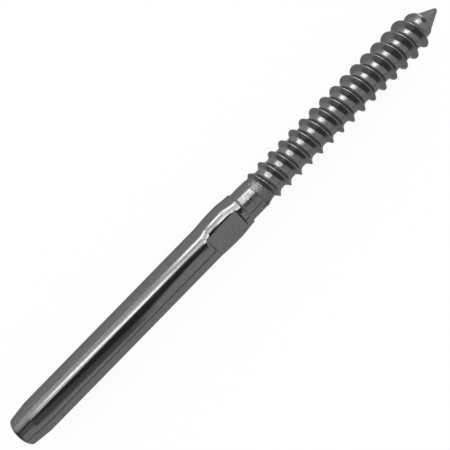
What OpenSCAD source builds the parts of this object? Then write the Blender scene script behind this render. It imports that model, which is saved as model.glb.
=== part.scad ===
// Wire rope terminal with a lag thread: a bored barrel that is swaged on to a
// rope, two wrench flats, a turned neck and a coarse wood thread with a point.
// The axis lies along X, from the open end of the bore at the origin to the
// point, and the two wrench flats face up and down. All sizes in millimetres.

/* [Barrel] */
// Outside diameter of the barrel
barrel_d = 7.5; // [7:0.1:7.8]
// Diameter of the open end, where the barrel tapers in
mouth_d = 6.6; // [6:0.1:7]
// Length of the taper at the open end
mouth_taper = 4; // [2:0.5:8]
// Radius that rounds the outer rim of the open end
rim_round = 0.2; // [0.1:0.05:0.4]
// Diameter of the bore that takes the rope
bore_d = 4.25; // [3:0.05:4.8]
// Depth of the bore to the start of its drill point
bore_depth = 45; // [20:1:47]
// Included angle of the drill point
drill_angle = 118; // [90:2:140]

/* [Wrench flats] */
// Distance from the open end to the foot of the swelling beside the flats
swell_start = 49.8; // [49:0.1:50.6]
// Distance from the open end to the widest place of the swelling
swell_peak = 55.5; // [54:0.1:57]
// Greatest width of the swelling, where the press has pushed the metal sideways
swell_w = 8.04; // [7.9:0.01:8.3]
// Diameter to which each side of the swelling is rounded
swell_round_d = 6.74; // [6.4:0.02:7]
// Distance from the open end to the shoulder behind the neck
shoulder_x = 59.95; // [59.2:0.05:60.5]
// Diameter of the land beside the shoulder
shoulder_d = 7.34; // [7.1:0.02:7.5]
// Length over which the shoulder falls to the neck
shoulder_fall = 0.4; // [0.2:0.05:0.6]
// Distance from the open end to the start of the flats
flat_start = 50.85; // [50.5:0.05:52]
// Length of the flats
flat_len = 8; // [6:0.05:8.1]
// Distance across the two flats
across_flats = 5.9; // [5.6:0.05:6.6]
// Lean of the end walls of the flats, from square to the axis
flat_wall_lean = 22; // [5:1:40]

/* [Neck] */
// Diameter of the turned neck
neck_d = 6.64; // [6.4:0.02:6.9]
// Distance from the open end to the end of the neck
neck_end = 63.9; // [63:0.1:64.5]
// Length of the cone from the neck down to the thread's core
neck_cone = 2.1; // [1:0.1:3]

/* [Lag thread] */
// Length of the whole terminal, from open end to point
total_len = 113.9; // [112.5:0.1:116]
// Pitch of the thread
pitch = 2.88; // [2.7:0.02:3]
// Diameter of the core between the turns
core_d = 5.83; // [5.4:0.01:6.1]
// Diameter over the crests beside the neck
crest_d_neck = 7.6; // [7.2:0.02:8]
// Diameter over the crests beside the point
crest_d_point = 8.02; // [7.4:0.02:8.4]
// Width of the crest
crest_w = 0.18; // [0.1:0.01:0.3]
// Length along the axis of the flank that faces the barrel
flank_back = 0.48; // [0.4:0.01:0.6]
// Length along the axis of the flank that faces the point
flank_front = 0.87; // [0.6:0.01:0.9]
// Share of each flank's height that its foot fillet takes up
root_fillet = 0.32; // [0.1:0.02:0.5]
// Angle round the axis at which the thread leaves the neck
start_angle = 128; // [0:1:359]
// Length over which the thread rises out of the neck
run_in = 3.6; // [2:0.1:6]
// Length of thread that fades away over the point
run_out = 5; // [3:0.1:6]
// Diameter of the narrow collar between the thread and the point
collar_d = 5.1; // [4.9:0.05:5.3]
// Length of the point, from the step at the end of the collar
point_len = 3.5; // [3.2:0.1:4]
// Included angle of the point
point_angle = 54; // [50:1:60]
// Radius of the blunted tip
tip_r = 0.36; // [0.1:0.02:0.4]

/* [Hidden] */

barrel_r = barrel_d / 2;
mouth_r = mouth_d / 2;
bore_r = bore_d / 2;
swell_r = swell_round_d / 2;
swell_offset = swell_w / 2 - swell_r;
shoulder_r = shoulder_d / 2;
neck_r = neck_d / 2;
core_r = core_d / 2;
drill_len = bore_r / tan(drill_angle / 2);
flat_end = flat_start + flat_len;
bore_chamfer = 0.2;
revolve_fn = 120;
rim_steps = 4;
cut_over = 1;

// Between the flats the press has squeezed the round body into the two sides of the
// swelling. Each side starts and ends just inside the body.
pressed_r = 3.05;
pressed_run = 0.6;
swell_sink = 0.07;
swell_foot_r = shoulder_r - swell_offset - swell_sink;
swell_power = 0.33;
swell_steps = 10;

// The threaded solid reaches back into the neck, a hair under its surface
socket_len = 1.6;
socket_r = neck_r - 0.02;
socket_start = neck_end - socket_len;
turn_facets = 32;

// The collar ends in a step, and the cone of the point in a rounded tip. The threaded
// solid narrows towards them and ends a hair under their surface.
half_point = point_angle / 2;
tip_centre = total_len - tip_r;
tip_steps = 6;
collar_r = collar_d / 2;
collar_end = total_len - point_len;
collar_len = 1.7;
collar_step = 0.2;
collar_sink = 0.04;
narrowing_len = 1.4;
narrowing_start = collar_end - collar_len - narrowing_len;
buried_len = 0.9;
buried_x = total_len - buried_len;

// The first turn starts inside the neck and shows only past its end. The crest keeps
// its full height as far as fading_len from the tip.
thread_back = 1.25;
thread_start = neck_end - thread_back;
bare_tip = 1.2;
turns = floor((total_len - bare_tip - thread_start) / pitch) - 1;
rows = turns * turn_facets;
fading_len = 7.9;
full_thread_end = total_len - fading_len;
emerge_len = 0.5;

// One pitch of the ridge from root to root: distance from the middle of the
// crest, and height as a share of the full ridge
crest_edge = 0.97;
fillet_steps = [-1, 0, 1];
ridge = concat(
    [[-pitch / 2, 0]],
    [for (step = fillet_steps) [-flank_foot(flank_back, step), fillet_height(step)]],
    [[-crest_w / 2, crest_edge], [0, 1], [crest_w / 2, crest_edge]],
    [for (step = -fillet_steps) [flank_foot(flank_front, step), fillet_height(step)]]
);
columns = len(ridge);

// Distance from the crest, and height, of a point of a foot fillet. The step goes
// from -1, where the fillet leaves the core, to 1, where it meets the flank.
function flank_foot(flank, step) = crest_w / 2 + flank * (1 - root_fillet * step);

function fillet_height(step) = root_fillet * pow(step + 1, 2) / 4;

function share(x, start, length) = min(1, max(0, (x - start) / length));

function ease(t) = (1 - cos(180 * t)) / 2;

function blend(a, b, t) = a + (b - a) * t;

// Radius of the point's cone, which is tangent to the round tip
function point_r(x) = (tip_centre - x) * tan(half_point) + tip_r / cos(half_point);

// Radius under the thread: in the neck, down the cone, along the core, down to the
// collar, under the point
function under_r(x) =
    let (
        down = blend(socket_r, core_r, share(x, neck_end, neck_cone)),
        narrowed = ease(share(x, narrowing_start, narrowing_len))
    )
    min(blend(down, collar_r - collar_sink, narrowed), point_r(x) - collar_sink);

// Radius of the crest where the ridge is centred at x
function crest_r(x) =
    let (
        full = blend(crest_d_neck, crest_d_point, share(x, neck_end, full_thread_end - neck_end)) / 2,
        risen = blend(socket_r, full, sin(90 * share(x, neck_end, run_in)))
    )
    blend(risen, under_r(x), ease(share(x, full_thread_end, run_out)));

// Height of the ridge at x, which is nothing inside the neck
function ridge_h(centre, x) =
    max(0, crest_r(centre) - under_r(centre)) * share(x, neck_end, emerge_len);

function on_ring(x, r, row) =
    let (a = start_angle + 360 * row / turn_facets)
    [x, r * cos(a), r * sin(a)];

// Point of the thread at a row along the helix and a column across the ridge
function thread_point(row, column) =
    let (
        centre = thread_start + pitch * (row / turn_facets + 0.5),
        x = centre + ridge[column][0]
    )
    on_ring(x, under_r(x) + ridge_h(centre, x) * ridge[column][1], row);

// Numbers of the points: rows of the thread, border of its last turn, ring in the
// neck, ring in the point, end. The last column of a row is the first one turn on.
border_at = (rows + 1) * columns;
socket_at = border_at + turn_facets;
last_ring_at = socket_at + turn_facets;
end_at = last_ring_at + turn_facets;

function at(row, column) =
    column == columns ? at(row + turn_facets, 0) :
    row <= rows ? row * columns + column :
    border_at + row - rows - 1;

function socket_ring(k) = socket_at + k % turn_facets;

function last_ring(k) = last_ring_at + k % turn_facets;

function quad(a, b, c, d) = [[a, b, c], [a, c, d]];

function fan(hub, rim) = [for (k = [0:len(rim) - 2]) [hub, rim[k], rim[k + 1]]];

thread_points = concat(
    [for (row = [0:rows]) for (column = [0:columns - 1]) thread_point(row, column)],
    [for (k = [1:turn_facets]) thread_point(rows + k, 0)],
    [for (k = [0:turn_facets - 1]) on_ring(socket_start, socket_r, k)],
    [for (k = [0:turn_facets - 1]) on_ring(buried_x, under_r(buried_x), k)],
    [[buried_x + collar_sink, 0, 0]]
);

thread_faces = concat(
    [for (row = [0:rows - 1]) for (column = [0:columns - 1])
        each quad(at(row, column), at(row, column + 1), at(row + 1, column + 1), at(row + 1, column))],
    [[for (k = [0:turn_facets - 1]) socket_ring(k)]],
    [for (k = [0:turn_facets - 2])
        each quad(socket_ring(k), at(k, 0), at(k + 1, 0), socket_ring(k + 1))],
    fan(at(turn_facets - 1, 0), concat(
        [for (column = [columns:-1:0]) at(0, column)],
        [socket_ring(0), socket_ring(turn_facets - 1)]
    )),
    [for (k = [1:turn_facets - 1])
        each quad(at(rows + k, 0), last_ring(k), last_ring(k + 1), at(rows + k + 1, 0))],
    fan(at(rows + 1, 0), concat(
        [for (column = [0:columns]) at(rows, column)],
        [last_ring(0), last_ring(1)]
    )),
    [for (k = [0:turn_facets - 1]) [last_ring(k), end_at, last_ring(k + 1)]]
);

// Outline of the turned body, as radius and distance along the axis
body_outline = concat(
    [[0, 0]],
    [for (k = [0:rim_steps])
        let (a = 90 * k / rim_steps)
        [mouth_r - rim_round * (1 - sin(a)), rim_round * (1 - cos(a))]],
    [[barrel_r, mouth_taper]],
    [[barrel_r, flat_start], [pressed_r, flat_start + pressed_run]],
    [[pressed_r, flat_end - pressed_run], [shoulder_r, flat_end], [shoulder_r, shoulder_x]],
    [[neck_r, shoulder_x + shoulder_fall], [neck_r, neck_end], [0, neck_end]]
);

// Radius of one side of the swelling: it starts and ends inside the turned body
function side_r(t) = blend(swell_foot_r, swell_r, pow(ease(t), swell_power));

side_outline = concat(
    [[0, swell_start]],
    [for (k = [0:swell_steps])
        let (t = k / swell_steps)
        [side_r(t), blend(swell_start, swell_peak, t)]],
    [for (k = [1:swell_steps])
        let (t = k / swell_steps)
        [side_r(1 - t), blend(swell_peak, shoulder_x, t)]],
    [[0, shoulder_x]]
);

module along_x() {
    rotate([0, 90, 0]) children();
}

module turned_body() {
    along_x() rotate_extrude($fn = revolve_fn) polygon(body_outline);
}

module rope_bore() {
    along_x() {
        translate([0, 0, -cut_over]) cylinder(r = bore_r, h = bore_depth + cut_over, $fn = revolve_fn);
        translate([0, 0, bore_depth]) cylinder(r1 = bore_r, r2 = 0, h = drill_len, $fn = revolve_fn);
        translate([0, 0, -bore_chamfer])
            cylinder(r1 = bore_r + 2 * bore_chamfer, r2 = bore_r, h = 2 * bore_chamfer, $fn = revolve_fn);
    }
}

// Metal that the press has pushed out on each side of the flats
module swelling() {
    for (side = [-1, 1])
        translate([0, side * swell_offset, 0])
            along_x() rotate_extrude($fn = revolve_fn) polygon(side_outline);
}

// What the press takes off one side: a flat floor between two leaning end walls
module flat_cut() {
    lean = tan(flat_wall_lean);
    floor_z = across_flats / 2;
    top_z = barrel_r + cut_over;
    inset = (barrel_r - floor_z) * lean;
    outset = (top_z - barrel_r) * lean;
    rotate([90, 0, 0]) linear_extrude(swell_w + 2 * cut_over, center = true) polygon([
        [flat_start - outset, top_z],
        [flat_start + inset, floor_z],
        [flat_end - inset, floor_z],
        [flat_end + outset, top_z]
    ]);
}

module lag_thread() {
    polyhedron(thread_points, thread_faces);
}

// Collar at the end of the thread, and the cone of the point with its rounded tip
point_outline = concat(
    [[0, narrowing_start], [collar_r, narrowing_start]],
    [[collar_r, collar_end - collar_step], [point_r(collar_end), collar_end]],
    [for (k = [0:tip_steps])
        let (a = half_point + (90 - half_point) * k / tip_steps)
        [tip_r * cos(a), tip_centre + tip_r * sin(a)]]
);

module point() {
    along_x() rotate_extrude($fn = revolve_fn) polygon(point_outline);
}

module terminal() {
    color([0.42, 0.42, 0.42]) union() {
        difference() {
            union() {
                turned_body();
                swelling();
            }
            rope_bore();
            flat_cut();
            mirror([0, 0, 1]) flat_cut();
        }
        lag_thread();
        point();
    }
}

terminal();
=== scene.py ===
import math

import bpy
import numpy as np
from mathutils import Matrix, Vector


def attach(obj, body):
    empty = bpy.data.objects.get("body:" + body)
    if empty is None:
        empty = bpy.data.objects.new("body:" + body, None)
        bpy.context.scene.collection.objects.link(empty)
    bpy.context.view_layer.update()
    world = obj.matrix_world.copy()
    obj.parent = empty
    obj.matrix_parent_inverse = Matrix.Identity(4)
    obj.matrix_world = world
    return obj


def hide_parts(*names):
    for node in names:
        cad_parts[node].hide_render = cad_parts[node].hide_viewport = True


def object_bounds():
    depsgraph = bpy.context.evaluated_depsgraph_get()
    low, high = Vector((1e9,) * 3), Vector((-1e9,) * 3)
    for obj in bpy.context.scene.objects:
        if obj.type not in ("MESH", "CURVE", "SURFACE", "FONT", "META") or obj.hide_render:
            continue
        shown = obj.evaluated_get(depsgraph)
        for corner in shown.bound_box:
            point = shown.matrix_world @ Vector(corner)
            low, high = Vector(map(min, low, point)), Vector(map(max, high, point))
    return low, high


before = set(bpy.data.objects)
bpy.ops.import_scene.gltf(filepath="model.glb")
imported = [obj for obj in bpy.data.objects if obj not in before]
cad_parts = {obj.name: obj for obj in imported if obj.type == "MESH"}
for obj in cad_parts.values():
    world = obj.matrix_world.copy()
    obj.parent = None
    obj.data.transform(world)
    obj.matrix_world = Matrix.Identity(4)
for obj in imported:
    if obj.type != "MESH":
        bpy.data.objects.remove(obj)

cad_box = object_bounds()

# All sizes are in millimetres, as in the part's source, and become metres at the end
MM = 0.001

# Turned body
TOTAL_LEN = cad_box[1].x / MM
BARREL_R = 3.75
MOUTH_R = 3.3
MOUTH_TAPER = 4.0
RIM_ROUND = 0.1
BORE_R = 2.125
BORE_DEPTH = 45.0
BORE_CHAMFER = 0.2
DRILL_HALF_ANGLE = math.radians(59)
SHOULDER_X = 59.95
SHOULDER_R = 3.67
SHOULDER_FALL = 0.4

# Swelling beside the flats: its half width as the photograph shows it, the two smaller
# circles that make its section, one on each side, and how softly they join
SWELL_START = 51.0
SWELL_RISE = 4.4
SWELL_HALF = 3.96
SWELL_FALL_START = 56.2
SWELL_FALL = 3.7
SIDE_R = 3.22
SIDE_TILT = math.radians(26)
PRESS_START = 50.2
PRESS_RUN = 1.9
RELEASE_START = 56.6
RELEASE_RUN = 3.2
JOIN_PRESSED = 0.05
JOIN_FIRST = 0.3
JOIN_LAG = 1.0
FLAT_START = 50.85
FLAT_END = FLAT_START + 8.0
FLAT_HALF = 2.98
FLAT_DISH = 0.06
FLAT_WALL_LEAN = math.tan(math.radians(15))
FLAT_EDGE_ROUND = 0.05
NECK_R = 3.32
NECK_END = 63.9
NECK_CONE = 2.1

# Lag thread
PITCH = 2.88
CORE_R = 2.915
CREST_R_NECK = 3.8
CREST_R_POINT = 4.0
CREST_HALF = 0.09
CREST_ROUND = 0.09
FLANK_BACK = 0.74
FLANK_FRONT = 1.2
BACK_CURVE = 1.25
FRONT_CURVE = 2.0
THREAD_START = NECK_END - 1.25
START_ANGLE = math.radians(128)
RUN_IN = 3.6
RUN_OUT = 5.6
LIFT_START = NECK_END - 0.1
LIFT_RUN = 0.6
BARE_TIP = 1.2
FULL_THREAD_END = TOTAL_LEN - 7.9
COLLAR_R = 2.55
COLLAR_END = TOTAL_LEN - 4.15
COLLAR_STEP = 0.2
ENDING_START = COLLAR_END - 0.5
ENDING_RUN = 0.9
NARROWING = (COLLAR_END - 3.1, 1.4)
HALF_POINT = math.radians(26)
TIP_R = 0.5
TIP_CENTRE = TOTAL_LEN - TIP_R
TIP_START = TIP_CENTRE + TIP_R * math.sin(HALF_POINT)

# Fineness of the visual mesh: points in a ring, rings along the axis, and how close the
# rings come to a crease, to each other at a change, and to the thread
BODY_SEGMENTS = 288
THREAD_SEGMENTS = 144
RIDGE_COLUMNS = 18
ROOT_COLUMNS = 4
POINT_COLUMNS = 24
COLUMN_SPREAD = 1.3
RIM_RINGS = 6
TAPER_RINGS = 8
BARREL_RINGS = 12
PRESS_RINGS = 10
FLAT_RINGS = 78
SHOULDER_RINGS = 7
NECK_RINGS = 8
TIP_RING_ANGLES = np.radians([45, 62, 78])
BORE_RINGS = (BORE_DEPTH - 0.05, 30.0, 15.0, 5.0, 1.0, BORE_CHAMFER + 0.03)
CREASE = 0.04
RING_GAP = 0.1
EDGE = 0.02
NECK_LAST_RING = THREAD_START - 0.15
THREAD_FIRST_RING = THREAD_START - 0.08


def share(x, start, length):
    return np.clip((x - start) / length, 0.0, 1.0)


def ease(t):
    return (1 - np.cos(np.pi * t)) / 2


def blend(a, b, t):
    return a + (b - a) * t


def soft_min(a, b, width):
    """The lesser of a and b, rounded where they meet."""
    h = np.clip(0.5 + 0.5 * (b - a) / width, 0.0, 1.0)
    return blend(b, a, h) - width * h * (1 - h)


def body_radius(x):
    """Radius of the turned body at x, without the swelling."""
    taper = blend(MOUTH_R, BARREL_R, share(x, 0.0, MOUTH_TAPER))
    step = blend(SHOULDER_R, NECK_R, share(x, SHOULDER_X, SHOULDER_FALL))
    return np.where(x > SHOULDER_X, step, taper)


def swell_half(x):
    """Half width of the swelling, as seen along the photograph's line of sight."""
    rise = np.sin(np.pi / 2 * share(x, SWELL_START, SWELL_RISE))
    fall = ease(share(x, SWELL_FALL_START, SWELL_FALL))
    return BARREL_R + (SWELL_HALF - BARREL_R) * rise + (SHOULDER_R - SWELL_HALF) * fall


def pressed_section(x):
    """Radius of the section's two circles at x, their distance off the axis, their join."""
    released = ease(share(x, RELEASE_START, RELEASE_RUN))
    pressed = ease(share(x, PRESS_START, PRESS_RUN)) * (1 - released)
    half = float(swell_half(x))
    side_r = float(blend(half, SIDE_R, pressed))
    settled = float(share(x, PRESS_START + JOIN_LAG, PRESS_RUN / 2))
    join = JOIN_PRESSED + JOIN_FIRST * (1 - settled)
    return side_r, (half - side_r) / math.cos(SIDE_TILT), join


def flat_height(x):
    """Height of the flat above the axis at x, a little dished, with two end walls."""
    inset = (BARREL_R - FLAT_HALF) * FLAT_WALL_LEAN
    along = (2 * x - FLAT_START - FLAT_END) / (FLAT_END - FLAT_START)
    before = (FLAT_START + inset - x) / FLAT_WALL_LEAN
    after = (x - FLAT_END + inset) / FLAT_WALL_LEAN
    return FLAT_HALF + np.maximum(FLAT_DISH * along ** 2, np.maximum(before, after))


def body_ring(x, angles):
    """Points of one ring of the outside at x, with the swelling on it and the flats cut in."""
    r = np.full(len(angles), float(body_radius(np.array(x))))
    if PRESS_START < x < SHOULDER_X:
        side_r, offset, join = pressed_section(x)
        towards_side = offset * np.hypot(np.cos(angles), join * np.sin(angles))
        r = towards_side + np.sqrt(side_r ** 2 - (offset * np.sin(angles)) ** 2)
    height = float(flat_height(np.array(x)))
    if height < BARREL_R + 4 * FLAT_EDGE_ROUND:
        to_flat = height / np.maximum(np.abs(np.sin(angles)), 0.2)
        r = soft_min(r, to_flat, FLAT_EDGE_ROUND)
    return ring_points(x, r, angles)


def ring_points(x, r, angles):
    r = np.broadcast_to(r, angles.shape)
    return np.stack([np.full(len(angles), float(x)), r * np.cos(angles), r * np.sin(angles)], axis=1)


def point_radius(x):
    """Radius of the point: a cone, and a round tip tangent to it."""
    cone = (TIP_CENTRE - x) * math.tan(HALF_POINT) + TIP_R / math.cos(HALF_POINT)
    ball = np.sqrt(np.maximum(TIP_R ** 2 - (x - TIP_CENTRE) ** 2, 0.0))
    return np.where(x < TIP_START, cone, ball)


def under_radius(x):
    """Radius under the thread: the neck, its cone, the core, the collar, the point."""
    down = blend(NECK_R, CORE_R, share(x, NECK_END, NECK_CONE))
    narrowed = blend(down, COLLAR_R, ease(share(x, *NARROWING)))
    step = share(x, COLLAR_END - COLLAR_STEP, COLLAR_STEP)
    return np.minimum(narrowed, blend(narrowed, point_radius(x), step))


def crest_radius(x):
    """Radius of the crest where the ridge is centred at x."""
    full = blend(CREST_R_NECK, CREST_R_POINT, share(x, NECK_END, FULL_THREAD_END - NECK_END))
    risen = blend(NECK_R, full, np.sin(np.pi / 2 * share(x, NECK_END, RUN_IN)))
    return blend(risen, under_radius(x), ease(share(x, FULL_THREAD_END, RUN_OUT)))


def ridge_shape(offset):
    """Height of the ridge, from 0 to 1, at a distance along the axis from its crest."""
    back = share(-offset, CREST_HALF, FLANK_BACK)
    front = share(offset, CREST_HALF, FLANK_FRONT)
    height = np.where(offset < 0, (1 - back) ** BACK_CURVE, (1 - front) ** FRONT_CURVE)
    return soft_min(height, np.ones_like(height), CREST_ROUND)


def thread_columns():
    """Distances from the crest at which the ridge is sampled, closer near its top."""
    half = RIDGE_COLUMNS // 2
    back = -(CREST_HALF + FLANK_BACK) * np.linspace(1, 0, half, endpoint=False) ** COLUMN_SPREAD
    front = (CREST_HALF + FLANK_FRONT) * np.linspace(0, 1, half + 1) ** COLUMN_SPREAD
    root = np.linspace(-PITCH / 2, back[0], ROOT_COLUMNS, endpoint=False)
    return np.concatenate([root, back, front])


class Skin:
    """A closed surface made ring by ring along the axis."""

    def __init__(self):
        self.points = []
        self.count = 0
        self.faces = []

    def add(self, points):
        points = np.atleast_2d(points)
        self.points.append(points)
        first = self.count
        self.count += len(points)
        return np.arange(first, self.count)

    def tube(self, a, b):
        """Quads between two rings of the same count, b further along the outline than a."""
        n = len(a)
        for k in range(n):
            m = (k + 1) % n
            self.faces.append((a[k], a[m], b[m], b[k]))

    def cap_from(self, point, ring):
        n = len(ring)
        for k in range(n):
            self.faces.append((point, ring[(k + 1) % n], ring[k]))

    def cap_to(self, ring, point):
        n = len(ring)
        for k in range(n):
            self.faces.append((ring[k], ring[(k + 1) % n], point))

    def halve(self, fine, coarse):
        """Joins a ring to one with half as many points."""
        n = len(coarse)
        for k in range(n):
            m = (k + 1) % n
            a, b, c = fine[2 * k], fine[2 * k + 1], fine[(2 * k + 2) % len(fine)]
            self.faces.append((a, b, coarse[k]))
            self.faces.append((b, c, coarse[m], coarse[k]))

    def zip_sides(self, left, right):
        """Joins two lines of (number, x) along the axis, the second at the next angle."""
        i = j = 0
        while i < len(left) - 1 or j < len(right) - 1:
            right_done = j == len(right) - 1
            if right_done or (i < len(left) - 1 and left[i + 1][1] < right[j + 1][1]):
                self.faces.append((left[i][0], right[j][0], left[i + 1][0]))
                i += 1
            else:
                self.faces.append((left[i][0], right[j][0], right[j + 1][0]))
                j += 1

    def mesh(self, name):
        data = bpy.data.meshes.new(name)
        points = np.concatenate(self.points) * MM
        data.from_pydata(points.tolist(), [], [tuple(int(i) for i in f) for f in self.faces])
        data.validate()
        data.update()
        data.polygons.foreach_set("use_smooth", [True] * len(data.polygons))
        return data


def outline_stations():
    """Places along the axis where the outside gets a ring, closer where it bends."""
    quarter = [math.pi / 2 * k / RIM_RINGS for k in range(1, RIM_RINGS + 1)]
    rim = [RIM_ROUND * (1 - math.cos(angle)) for angle in quarter]
    shoulder_end = SHOULDER_X + SHOULDER_FALL
    stretches = [
        (RIM_ROUND + 2 * RING_GAP, MOUTH_TAPER - CREASE, TAPER_RINGS),
        (MOUTH_TAPER + CREASE, PRESS_START - 2 * RING_GAP, BARREL_RINGS),
        (PRESS_START - RING_GAP, FLAT_START - 2 * RING_GAP, PRESS_RINGS),
        (FLAT_START - RING_GAP, SHOULDER_X - CREASE, FLAT_RINGS),
        (SHOULDER_X, shoulder_end, SHOULDER_RINGS),
        (shoulder_end + CREASE, NECK_LAST_RING, NECK_RINGS),
    ]
    return rim, [x for start, end, count in stretches for x in np.linspace(start, end, count)]


def rim_radius(x):
    """Radius of the rounded rim of the open end."""
    drop = 1 - x / RIM_ROUND
    return MOUTH_R - RIM_ROUND + RIM_ROUND * math.sqrt(max(0.0, 1 - drop * drop))


def add_bore(skin, angles):
    """The bore from its drill point out to the rim; returns the last ring."""
    drill_len = BORE_R / math.tan(DRILL_HALF_ANGLE)
    apex = skin.add([[BORE_DEPTH + drill_len, 0.0, 0.0]])
    stations = [(BORE_DEPTH + drill_len * 0.5, BORE_R * 0.5), (BORE_DEPTH, BORE_R)]
    stations += [(x, BORE_R) for x in BORE_RINGS]
    chamfer_r = BORE_R + BORE_CHAMFER
    stations += [(BORE_CHAMFER, BORE_R + EDGE / 2), (EDGE, chamfer_r - EDGE / 2)]
    stations += [(0.0, chamfer_r + EDGE)]
    stations += [(0.0, MOUTH_R - RIM_ROUND - EDGE), (0.0, MOUTH_R - RIM_ROUND)]
    ring = skin.add(ring_points(*stations[0], angles))
    skin.cap_from(int(apex[0]), ring)
    for x, r in stations[1:]:
        following = skin.add(ring_points(x, r, angles))
        skin.tube(ring, following)
        ring = following
    return ring


def add_outside(skin, ring, angles):
    """The outside from the rim to the middle of the neck; returns the last ring."""
    rim, stations = outline_stations()
    for x in rim:
        following = skin.add(ring_points(x, rim_radius(x), angles))
        skin.tube(ring, following)
        ring = following
    for x in stations:
        following = skin.add(body_ring(x, angles))
        skin.tube(ring, following)
        ring = following
    return ring


def add_thread(skin, fine_ring):
    """The rest of the neck, the thread as one strip wound round the core, and the point."""
    seg = THREAD_SEGMENTS
    offsets = thread_columns()
    columns = len(offsets)
    shape = ridge_shape(offsets)
    shape[0] = 0.0
    turns = int((TOTAL_LEN - BARE_TIP - THREAD_START) / PITCH) - 1
    rows = turns * seg
    row = np.arange(rows + 1)
    angle = START_ANGLE + 2 * np.pi * row / seg
    centre = THREAD_START + PITCH * (row / seg + 0.5)
    x = centre[:, None] + offsets[None, :]
    height = np.maximum(0.0, crest_radius(centre) - under_radius(centre))[:, None]
    ending = (1 - ease(share(centre, ENDING_START, ENDING_RUN)))[:, None]
    lift = height * ending * share(x, LIFT_START, LIFT_RUN) * shape[None, :]
    r = under_radius(x) + lift
    strip = np.stack([x, r * np.cos(angle)[:, None], r * np.sin(angle)[:, None]], axis=2)
    numbers = skin.add(strip.reshape(-1, 3)).reshape(rows + 1, columns)

    border_row = rows + np.arange(1, seg + 1)
    border_x = THREAD_START + PITCH * border_row / seg
    border_a = START_ANGLE + 2 * np.pi * border_row / seg
    along = np.linspace(0, 1, POINT_COLUMNS + 1)
    point_x = border_x[:, None] + (TIP_START - border_x)[:, None] * along[None, :]
    point_r = under_radius(point_x)
    cone = [point_x, point_r * np.cos(border_a)[:, None], point_r * np.sin(border_a)[:, None]]
    point = skin.add(np.stack(cone, axis=2).reshape(-1, 3)).reshape(seg, POINT_COLUMNS + 1)
    border = point[:, 0]

    def at(i, j):
        if j == columns:
            return at(i + seg, 0)
        if i <= rows:
            return int(numbers[i, j])
        return int(border[i - rows - 1])

    ring_a = START_ANGLE + 2 * np.pi * np.arange(seg) / seg
    start = skin.add(ring_points(THREAD_FIRST_RING, NECK_R, ring_a))
    skin.halve(fine_ring, start)
    for i in range(rows):
        for j in range(columns):
            skin.faces.append((at(i, j), at(i + 1, j), at(i + 1, j + 1), at(i, j + 1)))
    for k in range(seg - 1):
        skin.faces.append((int(start[k]), int(start[k + 1]), at(k + 1, 0), at(k, 0)))
    seam = [int(start[seg - 1]), int(start[0])] + [at(0, j) for j in range(columns + 1)]
    for a, b in zip(seam, seam[1:]):
        skin.faces.append((at(seg - 1, 0), a, b))

    for k in range(seg - 1):
        for j in range(POINT_COLUMNS):
            a, b = point[k], point[k + 1]
            skin.faces.append((int(a[j]), int(b[j]), int(b[j + 1]), int(a[j + 1])))
    last_row = list(zip(numbers[rows].tolist(), x[rows].tolist()))
    skin.zip_sides(last_row + list(zip(point[-1].tolist(), point_x[-1].tolist())),
                   list(zip(point[0].tolist(), point_x[0].tolist())))
    ring = np.roll(point[:, -1], 1)
    for tip_x in TIP_CENTRE + TIP_R * np.sin(TIP_RING_ANGLES):
        following = skin.add(ring_points(tip_x, point_radius(tip_x), ring_a))
        skin.tube(ring, following)
        ring = following
    apex = skin.add([[TOTAL_LEN, 0.0, 0.0]])
    skin.cap_to(ring, int(apex[0]))


def make_terminal():
    skin = Skin()
    angles = START_ANGLE + 2 * np.pi * np.arange(BODY_SEGMENTS) / BODY_SEGMENTS
    ring = add_bore(skin, angles)
    ring = add_outside(skin, ring, angles)
    add_thread(skin, ring)
    body = bpy.data.objects.new("terminal_body", skin.mesh("terminal_body"))
    bpy.context.scene.collection.objects.link(body)
    return body


class Nodes:
    """A small helper that adds shader nodes and links them."""

    def __init__(self, tree):
        self.tree = tree
        self.tree.nodes.clear()

    def add(self, kind, **inputs):
        node = self.tree.nodes.new(kind)
        for key, value in inputs.items():
            self.feed(node.inputs[key], value)
        return node

    def feed(self, socket, value):
        if isinstance(value, bpy.types.NodeSocket):
            self.tree.links.new(value, socket)
        else:
            socket.default_value = value

    def math(self, operation, a, b=0.0, c=0.0):
        node = self.tree.nodes.new("ShaderNodeMath")
        node.operation = operation
        for socket, value in zip(node.inputs, (a, b, c)):
            self.feed(socket, value)
        return node.outputs[0]

    def step(self, value, edge, softness):
        """0 below edge, 1 above it, smooth over softness."""
        node = self.tree.nodes.new("ShaderNodeMapRange")
        node.interpolation_type = "SMOOTHSTEP"
        self.feed(node.inputs["Value"], value)
        node.inputs["From Min"].default_value = edge - softness / 2
        node.inputs["From Max"].default_value = edge + softness / 2
        return node.outputs["Result"]

    def between(self, value, low, high, softness):
        """1 from low to high, 0 outside, smooth over softness."""
        return self.math("SUBTRACT", self.step(value, low, softness), self.step(value, high, softness))

    def scaled(self, vector, factors):
        node = self.tree.nodes.new("ShaderNodeVectorMath")
        node.operation = "MULTIPLY"
        self.tree.links.new(vector, node.inputs[0])
        node.inputs[1].default_value = factors
        return node.outputs[0]

    def noise(self, vector, scale, detail):
        node = self.add("ShaderNodeTexNoise", Vector=vector, Scale=scale, Detail=detail)
        return node.outputs["Fac"]

    def mix(self, factor, a, b):
        node = self.tree.nodes.new("ShaderNodeMix")
        self.feed(node.inputs["Factor"], factor)
        self.feed(node.inputs["A"], a)
        self.feed(node.inputs["B"], b)
        return node.outputs["Result"]


# Patterns of the steel: how many features per millimetre along X, Y and Z
STREAKS = (0.12, 5, 5)
CLOUD = (0.5, 1.1, 1.1)
TURNING = (5.5, 0.35, 0.35)
CRUMPLE = (2.5, 2.5, 2.5)
MOTTLE = (2.0, 3.0, 3.0)
PITS = (6, 6, 6)

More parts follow.
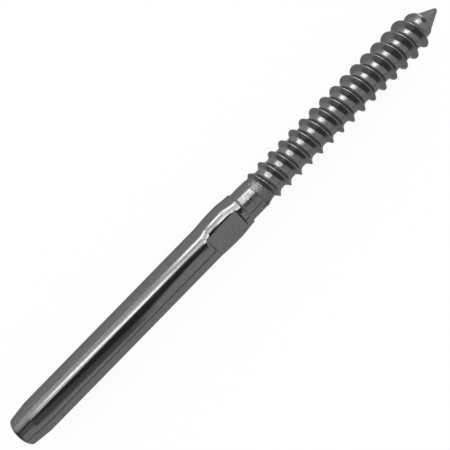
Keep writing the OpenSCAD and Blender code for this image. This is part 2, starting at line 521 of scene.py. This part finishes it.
# Relief of each pattern, in millimetres
STREAK_RELIEF = 0.0008
TURNING_RELIEF = 0.075
CRUMPLE_RELIEF = 0.22
CRUMPLE_ON_THREAD = 0.06
PIT_RELIEF = 0.006

# Roughness of each stretch, and what the patterns add to it
BARREL_ROUGH = 0.08
STREAK_ROUGH = 0.06
NECK_ROUGH = 0.1
FLAT_ROUGH = 0.24
THREAD_ROUGH = 0.18
PIT_ROUGH = 0.1
CONE_ROUGH = 0.22

# Tone of the steel, what the patterns add to it, and the painted shade on the thread's back flanks
TONE = 0.067
CLOUD_TONE = 0.03
MOTTLE_TONE = 0.095
STREAK_TONE = 0.04
CONE_TONE = -0.02
# Painted shade: how much darker the thread's flanks that face back towards the barrel are made
BACK_FLANK_SHADE = -0.2
THREAD_DULLNESS = -0.16


def steel_material():
    """Polished stainless steel: drawn streaks, turning marks on the neck, a rolled thread."""
    material = bpy.data.materials.new("steel")
    material.use_nodes = True
    n = Nodes(material.node_tree)
    coords = n.add("ShaderNodeTexCoord")
    place = n.scaled(coords.outputs["Object"], (1 / MM, 1 / MM, 1 / MM))
    split = n.add("ShaderNodeSeparateXYZ")
    n.tree.links.new(place, split.inputs[0])
    x = split.outputs[0]
    height = n.math("ABSOLUTE", split.outputs[2])

    neck = n.between(x, SHOULDER_X + 0.2, NECK_END, 0.1)
    cone = n.between(x, NECK_END - 0.1, NECK_END + 2.6, 0.6)
    thread = n.step(x, NECK_END + 0.5, 0.6)
    at_flat_height = n.between(height, FLAT_HALF - 0.03, FLAT_HALF + 0.02, 0.02)
    flat = n.math("MULTIPLY", n.between(x, FLAT_START, FLAT_END, 0.1), at_flat_height)

    streaks = n.noise(n.scaled(place, STREAKS), 1.0, 4)
    cloud = n.noise(n.scaled(place, CLOUD), 1.0, 3)
    turning = n.noise(n.scaled(place, TURNING), 1.0, 2)
    crumple = n.noise(n.scaled(place, CRUMPLE), 1.0, 3)
    mottle = n.noise(n.scaled(place, MOTTLE), 1.0, 2)
    pits = n.noise(n.scaled(place, PITS), 1.0, 2)

    turned = n.math("MULTIPLY", turning, neck)
    crumpled = n.math("MULTIPLY", crumple, n.math("MULTIPLY_ADD", thread, CRUMPLE_ON_THREAD, cone))
    pitted = n.math("MULTIPLY", pits, thread)
    relief = n.math("MULTIPLY", streaks, STREAK_RELIEF)
    relief = n.math("MULTIPLY_ADD", turned, TURNING_RELIEF, relief)
    relief = n.math("MULTIPLY_ADD", crumpled, CRUMPLE_RELIEF, relief)
    relief = n.math("MULTIPLY_ADD", pitted, PIT_RELIEF, relief)
    bump = n.add("ShaderNodeBump", Strength=1.0, Distance=MM, Height=relief)

    rough = n.math("MULTIPLY_ADD", streaks, STREAK_ROUGH, BARREL_ROUGH)
    rough = n.mix(neck, rough, NECK_ROUGH)
    rough = n.mix(flat, rough, FLAT_ROUGH)
    rough = n.mix(thread, rough, n.math("MULTIPLY_ADD", pits, PIT_ROUGH, THREAD_ROUGH))
    rough = n.mix(cone, rough, CONE_ROUGH)

    tone = n.math("MULTIPLY_ADD", cloud, CLOUD_TONE, TONE)
    tone = n.math("MULTIPLY_ADD", mottle, MOTTLE_TONE, tone)
    tone = n.math("MULTIPLY_ADD", streaks, STREAK_TONE, tone)
    tone = n.math("MULTIPLY_ADD", cone, CONE_TONE, tone)
    # Painted shade: the thread's flanks that face back, towards -X, get a darker tone; scale below is that
    # mask
    facing = n.add("ShaderNodeSeparateXYZ")
    n.tree.links.new(n.add("ShaderNodeNewGeometry").outputs["Normal"], facing.inputs[0])
    backwards = n.step(n.math("MULTIPLY", facing.outputs[0], -1.0), 0.5, 0.3)
    scale = n.math("MULTIPLY", thread, backwards)
    tone = n.math("MULTIPLY", tone, n.math("MULTIPLY_ADD", scale, BACK_FLANK_SHADE, 1.0))
    tint = n.add("ShaderNodeCombineColor", Red=tone, Green=tone, Blue=tone)

    metallic = n.math("MULTIPLY_ADD", thread, THREAD_DULLNESS, 1.0)
    shader = n.add("ShaderNodeBsdfPrincipled", Metallic=metallic)
    n.tree.links.new(tint.outputs[0], shader.inputs["Base Color"])
    n.tree.links.new(rough, shader.inputs["Roughness"])
    n.tree.links.new(bump.outputs[0], shader.inputs["Normal"])
    shader.inputs["Specular Tint"].default_value = (0.5, 0.5, 0.5, 1)
    out = n.add("ShaderNodeOutputMaterial")
    n.tree.links.new(shader.outputs[0], out.inputs["Surface"])
    return material


class Card:
    """A soft-edged patch of light or dark round the object, as the steel mirrors it.

    Its lower and upper edges are angles above the +Y horizon, seen along the axis, each
    with a lean: how far the edge moves per unit of slope towards +X. It starts and ends
    at a slope towards +X. Every edge has a softness.
    """

    def __init__(self, radiance, low, high, near=(-50, 1), far=(50, 1), lean=(0, 0), soft=(6, 6)):
        self.radiance = radiance
        self.low, self.high = low, high
        self.near, self.far = near, far
        self.lean, self.soft = lean, soft


# Radiance, lower and upper edge of each card. Later cards cover earlier ones
CARDS = {
    "side wall": Card(1.76, -12, 30, soft=(22, 6)),
    "side wall, near the flats": Card(1.45, -12, 30, near=(-0.14, 0.1), soft=(22, 6)),
    "lamp rim": Card(2.5, 24, 48.5, near=(-0.5, 0.05), far=(0.16, 0.06), soft=(5, 4)),
    "lamp, first end": Card(3.2, 27, 40, near=(-0.47, 0.03), far=(-0.36, 0.04), soft=(6, 6)),
    "lamp, first part": Card(6.7, 41, 52, near=(-0.39, 0.05), far=(-0.2, 0.04), lean=(40, 40), soft=(4, 6)),
    "lamp": Card(7.0, 34, 45, near=(-0.2, 0.04), far=(-0.085, 0.05), soft=(5, 4)),
    "lamp, last end": Card(3.8, 35, 46, near=(-0.085, 0.05), far=(0.05, 0.1), soft=(6, 5)),
    "lamp tail": Card(7.0, 45, 55.5, near=(0.01, 0.03), far=(0.3, 0.1), soft=(4, 4)),
    "space between lamps": Card(2.0, 19, 35, near=(-0.085, 0.03), far=(0.3, 0.1), soft=(6, 6)),
    "lower lamp, first end": Card(2.6, 6, 20, near=(-0.105, 0.02), far=(-0.06, 0.05), soft=(5, 6)),
    "lower lamp": Card(7.4, 7.5, 20, near=(-0.062, 0.03), far=(0.3, 0.1), soft=(5, 6)),
    "neck lamp": Card(4.4, 2, 55, near=(0.09, 0.02), far=(0.145, 0.02), soft=(6, 5)),
    "panel": Card(9.0, 8, 40, near=(0.24, 0.2), far=(0.68, 0.2), soft=(30, 28)),
    "far wall": Card(0.9, 60, 205, soft=(4, 6)),
    "dim ceiling": Card(0.3, 60, 131, near=(-0.57, 0.04), far=(-0.17, 0.05), lean=(0, 58), soft=(4, 12)),
    "dim corner": Card(0.3, 60, 52.5, near=(-0.17, 0.05), far=(-0.07, 0.04), lean=(0, -290), soft=(4, 12)),
    "dark corner": Card(0.085, 49.3, 107, near=(-0.57, 0.04), far=(-0.14, 0.04), lean=(0, 88), soft=(5, 14)),
    "dark edge": Card(0.085, 48.3, 76, near=(-0.14, 0.04), far=(-0.005, 0.02), lean=(0, -100), soft=(5, 8)),
    "dark wedge": Card(0.07, 55.5, 90, near=(-0.01, 0.02), far=(0.085, 0.02), soft=(4, 12)),
    "dark neck line": Card(0.06, 58, 76, near=(0.085, 0.02), far=(0.2, 0.05), soft=(4, 8)),
    "dark end": Card(0.45, 56, 88, far=(-0.57, 0.04), soft=(3, 8)),
    "dark end line": Card(0.07, 45, 56, far=(-0.57, 0.04), soft=(3, 3)),
    "gap": Card(0.33, 134.5, 143.5, soft=(5, 5)),
    "back of the room": Card(0.2, -60, 220, far=(-0.84, 0.1), soft=(20, 20)),
}


def make_world():
    world = bpy.data.worlds.new("studio")
    bpy.context.scene.world = world
    world.use_nodes = True
    n = Nodes(world.node_tree)
    coords = n.add("ShaderNodeTexCoord")
    split = n.add("ShaderNodeSeparateXYZ")
    n.tree.links.new(coords.outputs["Generated"], split.inputs[0])
    x, y, z = split.outputs
    angle = n.math("DEGREES", n.math("ARCTAN2", z, y))
    angle = n.math("ADD", angle, n.math("MULTIPLY", n.math("LESS_THAN", angle, -90.0), 360.0))
    across = n.math("SQRT", n.math("ADD", n.math("MULTIPLY", y, y), n.math("MULTIPLY", z, z)))
    slope = n.math("DIVIDE", x, n.math("MAXIMUM", across, 0.001))
    radiance = 1.0
    for card in CARDS.values():
        low = n.math("MULTIPLY_ADD", slope, -card.lean[0], angle)
        high = n.math("MULTIPLY_ADD", slope, -card.lean[1], angle)
        above = n.step(low, card.low, card.soft[0])
        below = n.math("SUBTRACT", 1.0, n.step(high, card.high, card.soft[1]))
        after = n.step(slope, *card.near)
        before = n.math("SUBTRACT", 1.0, n.step(slope, *card.far))
        inside = n.math("MULTIPLY", n.math("MULTIPLY", above, below), n.math("MULTIPLY", after, before))
        radiance = n.mix(inside, radiance, card.radiance)
    path = n.add("ShaderNodeLightPath")
    shown = n.mix(path.outputs["Is Camera Ray"], radiance, 1.0)
    background = n.add("ShaderNodeBackground", Color=(1, 1, 1, 1), Strength=shown)
    out = n.add("ShaderNodeOutputWorld")
    n.tree.links.new(background.outputs[0], out.inputs["Surface"])


FLOOR_SIZE = 4.0
FLOOR_GLOW = 0.93
FLOOR_PAINT = 0.9


def make_floor():
    """A white floor under the object, which keeps a light shadow."""
    bottom = cad_box[0].z
    data = bpy.data.meshes.new("floor")
    h = FLOOR_SIZE / 2
    corners = [(-h, -h, bottom), (h, -h, bottom), (h, h, bottom), (-h, h, bottom)]
    data.from_pydata(corners, [], [(0, 1, 2, 3)])
    floor = bpy.data.objects.new("floor", data)
    bpy.context.scene.collection.objects.link(floor)
    material = bpy.data.materials.new("floor")
    material.use_nodes = True
    n = Nodes(material.node_tree)
    path = n.add("ShaderNodeLightPath")
    seen = n.math("ADD", path.outputs["Is Camera Ray"], path.outputs["Is Glossy Ray"])
    seen = n.math("MINIMUM", n.math("ADD", seen, path.outputs["Is Transmission Ray"]), 1.0)
    paint = n.add("ShaderNodeBsdfDiffuse", Color=(FLOOR_PAINT, FLOOR_PAINT, FLOOR_PAINT, 1))
    glow = n.add("ShaderNodeEmission", Color=(1, 1, 1, 1), Strength=1.0)
    mixed = n.add("ShaderNodeMixShader")
    n.feed(mixed.inputs[0], n.math("MULTIPLY", seen, FLOOR_GLOW))
    n.tree.links.new(paint.outputs[0], mixed.inputs[1])
    n.tree.links.new(glow.outputs[0], mixed.inputs[2])
    out = n.add("ShaderNodeOutputMaterial")
    n.tree.links.new(mixed.outputs[0], out.inputs["Surface"])
    data.materials.append(material)


# The photograph: its scale on the object, and where its middle falls on the axis
IMAGE_WIDTH = 450
PIXELS_PER_MM = 5.18
MIDDLE_PIXELS = 288
MIDDLE_X = MIDDLE_PIXELS / PIXELS_PER_MM
SHIFT_PIXELS = 25
DISTANCE_PIXELS = 555
CAMERA_DISTANCE = DISTANCE_PIXELS / PIXELS_PER_MM
CAMERA_TILT = math.radians(26)
AXIS_TILT = math.radians(45.65)
SENSOR = 36.0


def make_camera():
    data = bpy.data.cameras.new("camera")
    data.sensor_width = SENSOR
    data.lens = SENSOR * CAMERA_DISTANCE * PIXELS_PER_MM / IMAGE_WIDTH
    data.clip_start = 0.005
    data.clip_end = 20
    camera = bpy.data.objects.new("camera", data)
    bpy.context.scene.collection.objects.link(camera)
    along = Vector((1, 0, 0))
    back = Vector((0, math.sin(CAMERA_TILT), math.cos(CAMERA_TILT)))
    across = Vector((0, -math.cos(CAMERA_TILT), math.sin(CAMERA_TILT)))
    right = along * math.cos(AXIS_TILT) + across * math.sin(AXIS_TILT)
    up = along * math.sin(AXIS_TILT) - across * math.cos(AXIS_TILT)
    data.shift_x = SHIFT_PIXELS * math.cos(AXIS_TILT) / IMAGE_WIDTH
    data.shift_y = SHIFT_PIXELS * math.sin(AXIS_TILT) / IMAGE_WIDTH
    facing_x = MIDDLE_X - SHIFT_PIXELS / PIXELS_PER_MM
    place = (along * facing_x + back * CAMERA_DISTANCE) * MM
    camera.matrix_world = Matrix((right, up, back)).transposed().to_4x4()
    camera.location = place
    bpy.context.scene.camera = camera


terminal = make_terminal()
terminal.data.materials.append(steel_material())
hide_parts("terminal")
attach(terminal, "root")
make_world()
make_floor()
make_camera()
bpy.context.scene.view_settings.view_transform = "Standard"
